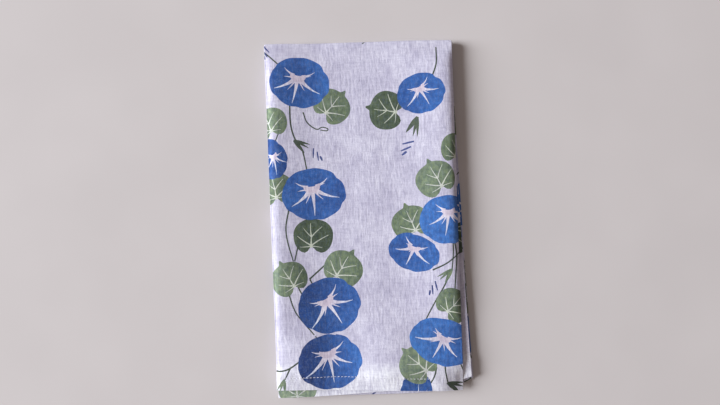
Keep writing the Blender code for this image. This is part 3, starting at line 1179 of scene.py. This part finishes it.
def stitch_row(line, first_u, last_u):
    """The vertices and faces of stitches on the printed face. line gives v at each u."""
    points, faces = [], []
    sides = even_angles(STITCH_SIDES)
    thick = STITCH_THICK / 2 * np.sqrt(1.0 - STITCH_ENDS * STITCH_SHARES**4)
    generator = np.random.default_rng(STITCH_SEED)
    for index in range(int((last_u - first_u) / STITCH_PITCH)):
        middle = first_u + (index + 0.5) * STITCH_PITCH
        variation = generator.uniform(-STITCH_VARIATION, STITCH_VARIATION)
        slant = generator.uniform(-STITCH_SLANT, STITCH_SLANT)
        u = middle + STITCH_SHARES * (STITCH_LENGTH / 2 * (1.0 + variation))
        row = line(u) + slant * STITCH_SHARES
        normals = face_normals(u, row)
        middle_line = folded(u, row) + normals * (CLOTH / 2)
        aside = np.cross(normals, unit(np.gradient(middle_line, axis=0)))
        first = len(points)
        for place, normal, side, radius in zip(middle_line, normals, aside, thick):
            for angle in sides:
                up = radius * math.sin(angle) + radius * STITCH_LIFT
                points.append(place + (side * radius * math.cos(angle) + normal * up))
        last = len(points) - STITCH_SIDES
        for ring in range(first, last, STITCH_SIDES):
            for side_index in range(STITCH_SIDES):
                a = ring + side_index
                b = ring + (side_index + 1) % STITCH_SIDES
                faces.append((a, b, b + STITCH_SIDES, a + STITCH_SIDES))
        faces.append(tuple(reversed(range(first, first + STITCH_SIDES))))
        faces.append(tuple(range(last, last + STITCH_SIDES)))
    return points, faces


def make_stitches():
    def front_line(u):
        return LENGTH - table_height(STITCH_LINE, u - PANEL_MIDDLE)

    def back_line(u):
        return np.full_like(u, STITCH_ROW)

    points, faces = [], []
    for line, span in ((front_line, FRONT_STITCHES), (back_line, BACK_STITCHES)):
        row_points, row_faces = stitch_row(line, *span)
        faces += [tuple(index + len(points) for index in face) for face in row_faces]
        points += row_points
    mesh = bpy.data.meshes.new("hem_stitches")
    mesh.from_pydata([tuple(point * MM) for point in points], [], faces)
    mesh.polygons.foreach_set("use_smooth", np.ones(len(faces), dtype=bool))
    mesh.validate()
    mesh.materials.append(thread_material())
    return new_object("hem_stitches", mesh)


# Materials.


class Nodes:
    """A short way to add shader nodes: each call links what it is given and returns an output."""

    def __init__(self, name):
        self.material = bpy.data.materials.new(name)
        self.material.use_nodes = True
        self.tree = self.material.node_tree

    def link(self, value, socket):
        if isinstance(value, bpy.types.NodeSocket):
            self.tree.links.new(value, socket)
        else:
            socket.default_value = value

    def add(self, kind, inputs, output=0, **settings):
        node = self.tree.nodes.new(kind)
        for key, value in settings.items():
            setattr(node, key, value)
        for key, value in inputs.items():
            self.link(value, node.inputs[key])
        return node.outputs[output]

    def math(self, operation, first, second=0.0):
        return self.add("ShaderNodeMath", {0: first, 1: second}, operation=operation)

    def plus(self, first, second):
        return self.math("ADD", first, second)

    def times(self, first, second):
        return self.math("MULTIPLY", first, second)

    def noise(self, vector, scale, detail=2.0, roughness=0.5):
        scaled = self.add("ShaderNodeMapping", {"Vector": vector, "Scale": scale})
        inputs = {"Vector": scaled, "Scale": 1.0, "Detail": detail, "Roughness": roughness}
        return self.add("ShaderNodeTexNoise", inputs)

    def spread(self, value, low, high, to_low=0.0, to_high=1.0):
        ends = {"From Min": low, "From Max": high, "To Min": to_low, "To Max": to_high}
        return self.add("ShaderNodeMapRange", {"Value": value, **ends})

    def mix(self, share, first, second, blend="MIX"):
        node = self.tree.nodes.new("ShaderNodeMix")
        node.data_type = "RGBA"
        node.blend_type = blend
        self.link(share, node.inputs["Factor"])
        colour_a, colour_b = [socket for socket in node.inputs if socket.type == "RGBA"]
        self.link(first, colour_a)
        self.link(second, colour_b)
        return next(socket for socket in node.outputs if socket.type == "RGBA")

    def finish(self, inputs):
        """Set the shader's sockets, and return the material."""
        for key, value in inputs.items():
            self.link(value, self.tree.nodes["Principled BSDF"].inputs[key])
        return self.material


def opaque(colour):
    return (*linear(colour), 1.0)


# The parts of a noise's range that a material makes use of.
MIDDLE_RANGE = (0.35, 0.65)
WIDE_RANGE = (0.3, 0.7)

# The noises of the cloth: how many features each has in a metre across the cloth and along it, and
# then its detail and roughness.
COTTON_NOISES = {
    "along": ((840.0, 170.0, 1.0), 3.0, 0.62),
    "across": ((190.0, 840.0, 1.0), 3.0, 0.62),
    "slub": ((420.0, 54.0, 1.0), 2.0),
    "weft_slub": ((60.0, 430.0, 1.0), 2.0),
    "fine": ((1500.0, 1200.0, 1.0), 1.0),
    "blotch": ((420.0, 340.0, 1.0), 3.0),
    "broad": ((76.0, 52.0, 1.0), 3.0),
}
ALONG_SHARE = 0.66
ACROSS_SHARE = 0.34
FINE_SHARE = 0.5
# The layers over the printed colour, from no share of each where its noise is low to most where it
# is high. In the dye they are paler threads and uneven dye, and elsewhere shade in the cloth.
Layer = namedtuple("Layer", "noise low high most in_dye blend tint")
LAYERS = [
    Layer("threads", 0.70, 0.88, 0.90, True, "ADD", opaque((86, 96, 100))),
    Layer("blotch", 0.60, 0.90, 0.80, True, "MULTIPLY", (0.46, 0.52, 0.60, 1.0)),
    Layer("threads", 0.40, 0.64, 0.72, False, "MULTIPLY", (0.58, 0.57, 0.66, 1.0)),
    Layer("slub", 0.46, 0.70, 0.32, False, "MULTIPLY", (0.66, 0.64, 0.72, 1.0)),
    Layer("weft_slub", 0.48, 0.72, 0.12, False, "MULTIPLY", (0.68, 0.66, 0.72, 1.0)),
    Layer("broad", 0.36, 0.64, 0.68, False, "MULTIPLY", opaque((226, 224, 232))),
]
# The bump of the cloth: the length of a weave's wave in millimetres, and how much the weave and
# the threads count.
WEAVE = 0.62
WEAVE_SHARE = 0.35
THREAD_SHARE = 2.6
COTTON_ROUGHNESS = (0.80, 0.94)

THREAD_TWIST = (1400.0, 5200.0, 2600.0)
THREAD_LIGHT = (236, 236, 244)
THREAD_DARK = (208, 207, 219)
THREAD_ROUGHNESS = (0.62, 0.82)

FLOOR_GRAIN = (14.0, 14.0, 14.0)


def cotton_material():
    nodes = Nodes("printed_cotton")
    flat = nodes.add("ShaderNodeUVMap", {}, uv_map="flat")
    inked = nodes.add("ShaderNodeAttribute", {}, "Color", attribute_name="print_colour")
    dye = nodes.add("ShaderNodeAttribute", {}, "Fac", attribute_name="print_dye")
    noises = {name: nodes.noise(flat, *settings) for name, settings in COTTON_NOISES.items()}
    along = nodes.times(noises["along"], ALONG_SHARE)
    threads = nodes.plus(along, nodes.times(noises["across"], ACROSS_SHARE))
    noises["threads"] = threads
    fine = nodes.times(noises["fine"], FINE_SHARE)
    for layer in LAYERS:
        noise = nodes.plus(noises[layer.noise], fine) if layer.in_dye else noises[layer.noise]
        share = nodes.spread(noise, layer.low, layer.high, 0.0, layer.most)
        if layer.in_dye:
            share = nodes.times(share, dye)
        inked = nodes.mix(share, inked, layer.tint, layer.blend)

    waves = []
    for axis in ("X", "Y"):
        place = nodes.add("ShaderNodeSeparateXYZ", {"Vector": flat}, axis)
        waves.append(nodes.math("SINE", nodes.times(place, math.tau / (WEAVE * MM))))
    weave = nodes.times(nodes.times(*waves), WEAVE_SHARE)
    height = nodes.plus(weave, nodes.times(threads, THREAD_SHARE))
    bump = {"Strength": 0.6, "Distance": 0.00022, "Height": height}
    return nodes.finish({
        "Base Color": inked,
        "Normal": nodes.add("ShaderNodeBump", bump),
        "Roughness": nodes.spread(threads, *WIDE_RANGE, *COTTON_ROUGHNESS),
        "Sheen Weight": 0.18,
        "Sheen Roughness": 0.5,
        "Specular IOR Level": 0.25,
    })


def thread_material():
    nodes = Nodes("hem_thread")
    place = nodes.add("ShaderNodeTexCoord", {}, "Object")
    twist = nodes.noise(place, THREAD_TWIST)
    share = nodes.spread(twist, *MIDDLE_RANGE)
    bump = {"Strength": 0.5, "Distance": 0.00006, "Height": twist}
    return nodes.finish({
        "Base Color": nodes.mix(share, opaque(THREAD_LIGHT), opaque(THREAD_DARK)),
        "Normal": nodes.add("ShaderNodeBump", bump),
        "Roughness": nodes.spread(twist, *WIDE_RANGE, *THREAD_ROUGHNESS),
        "Sheen Weight": 0.2,
    })


def floor_material():
    nodes = Nodes("studio_floor")
    place = nodes.add("ShaderNodeTexCoord", {}, "Object")
    share = nodes.spread(nodes.noise(place, FLOOR_GRAIN), *MIDDLE_RANGE)
    return nodes.finish({
        "Base Color": nodes.mix(share, opaque(FLOOR_LIGHT), opaque(FLOOR_DARK)),
        "Roughness": 0.75,
        "Specular IOR Level": 0.2,
    })


def make_floor():
    half = FLOOR_HALF
    mesh = bpy.data.meshes.new("studio_floor")
    corners = [(-half, -half), (half, -half), (half, half), (-half, half)]
    mesh.from_pydata([(*corner, FLOOR_DROP) for corner in corners], [], [(0, 1, 2, 3)])
    mesh.materials.append(floor_material())
    return new_object("studio_floor", mesh)


def add_light():
    data = bpy.data.lights.new("window", "AREA")
    data.shape = "DISK"
    data.size = WINDOW_SIZE
    data.energy = WINDOW_POWER
    data.color = WINDOW_COLOUR
    light = new_object("window", data)
    light.location = WINDOW_PLACE
    light.rotation_euler = (-Vector(WINDOW_PLACE)).to_track_quat("-Z", "Y").to_euler()
    world = bpy.data.worlds.new("studio")
    world.use_nodes = True
    background = world.node_tree.nodes["Background"]
    background.inputs["Color"].default_value = ROOM_COLOUR
    background.inputs["Strength"].default_value = ROOM_STRENGTH
    bpy.context.scene.world = world


def add_camera():
    data = bpy.data.cameras.new("camera")
    data.sensor_width = SENSOR
    data.lens = SENSOR * CAMERA_DISTANCE / VIEW_WIDTH
    data.clip_start = NEAREST_SEEN * MM
    camera = new_object("camera", data)
    camera.location = (CAMERA_X * MM, CAMERA_Y * MM, (CAMERA_DISTANCE + TOP_HEIGHT) * MM)
    camera.rotation_euler = (0.0, 0.0, math.radians(CAMERA_TURN))
    bpy.context.scene.camera = camera


def main():
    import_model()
    bpy.context.scene.view_settings.view_transform = "Standard"
    add_camera()
    add_light()
    cloth = make_cloth()
    stitches = make_stitches()
    for piece in (cloth, stitches):
        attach(piece, "root")
    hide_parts("folded_cloth")
    make_floor()


main()
